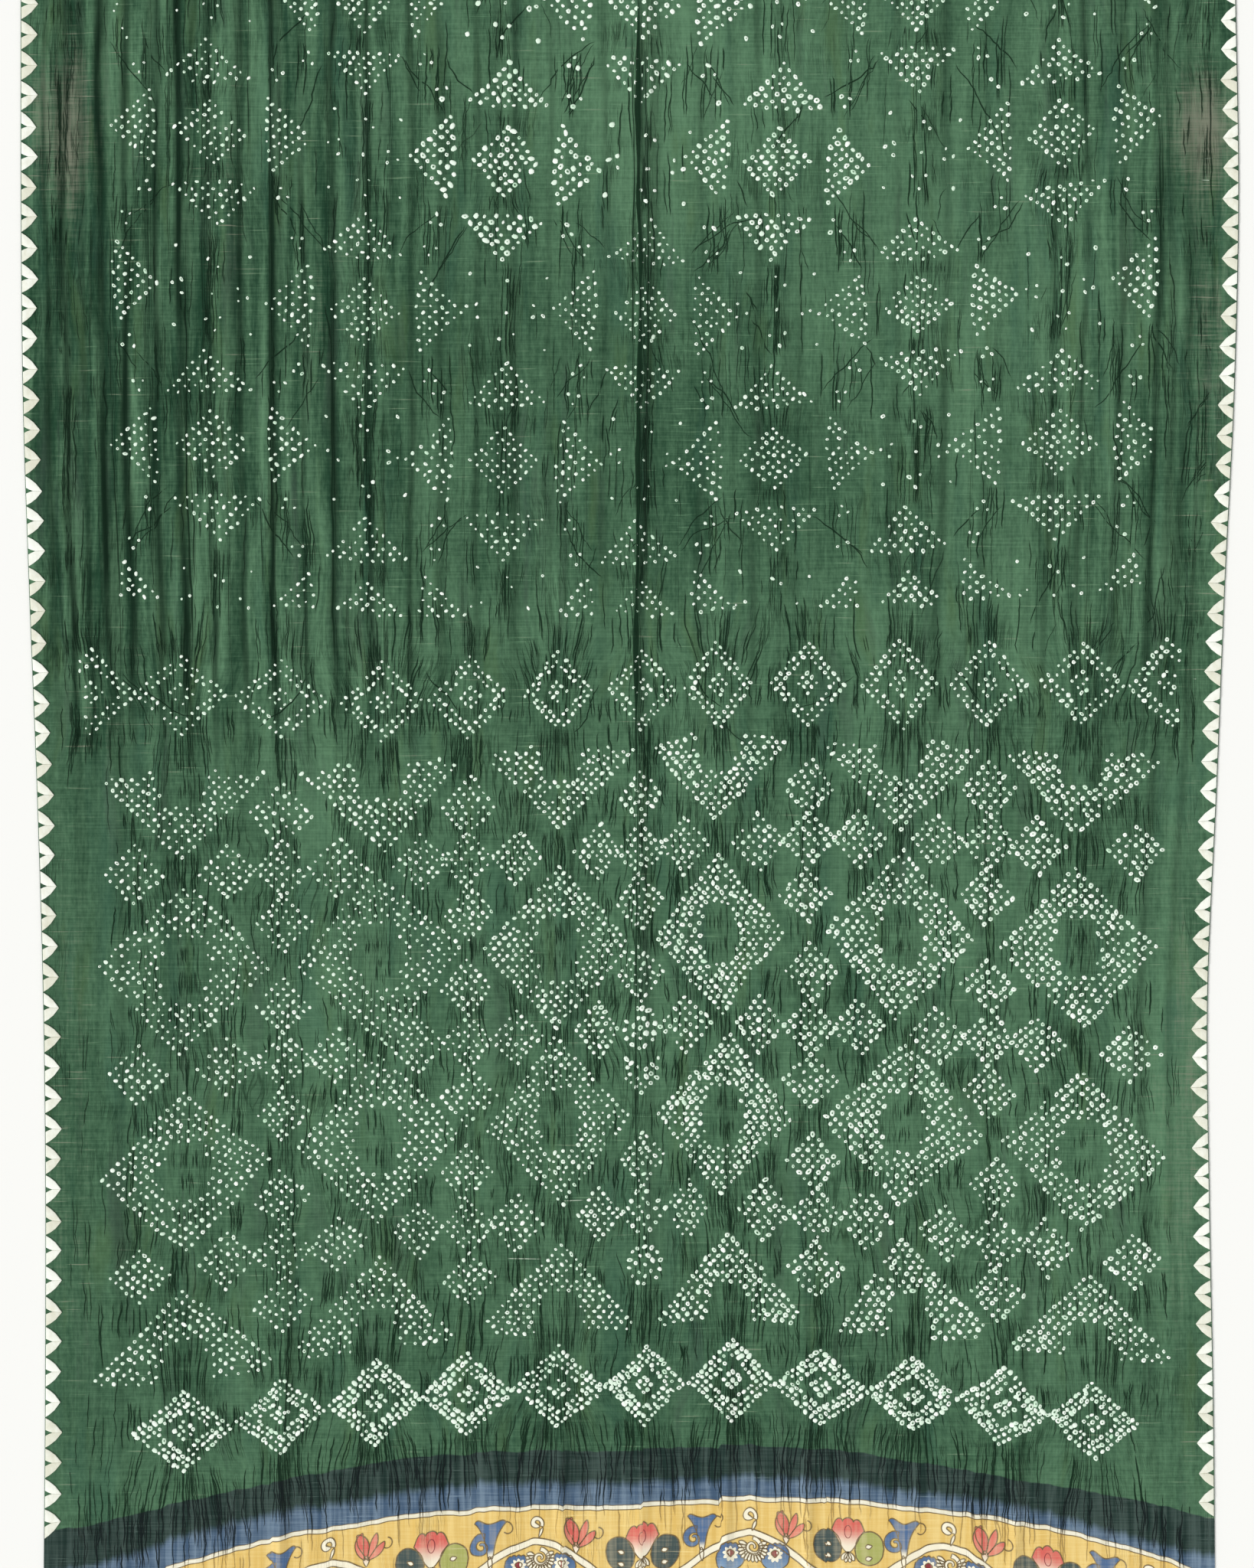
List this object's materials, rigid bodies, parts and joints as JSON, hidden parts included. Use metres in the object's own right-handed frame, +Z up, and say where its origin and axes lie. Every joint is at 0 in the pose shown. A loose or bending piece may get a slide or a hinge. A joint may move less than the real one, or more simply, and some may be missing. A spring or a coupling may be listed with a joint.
{
  "type": "bandhani cloth",
  "caption": "Length of green tie-dyed cotton with dotted diamonds, a painted floral end and pointed white edging, laid flat as a cover or wrap.",
  "frame": {"origin": "middle of the footprint, at the height of the surface that the cloth lies on", "axes": "+X across the cloth, +Y along it from the painted end to the plain green end, +Z up out of its face"},
  "size_m": [0.9879, 1.3566, 0.0066],
  "materials": {
    "dyed_cotton": "thin crinkled cotton, matt, tie-dyed green with a painted end",
    "white_cotton": "folded white cotton edging, matt"
  },
  "bodies": {
    "root": {"cloth": "dyed_cotton", "edging_left": "white_cotton", "edging_right": "white_cotton"}
  },
  "joints": []
}
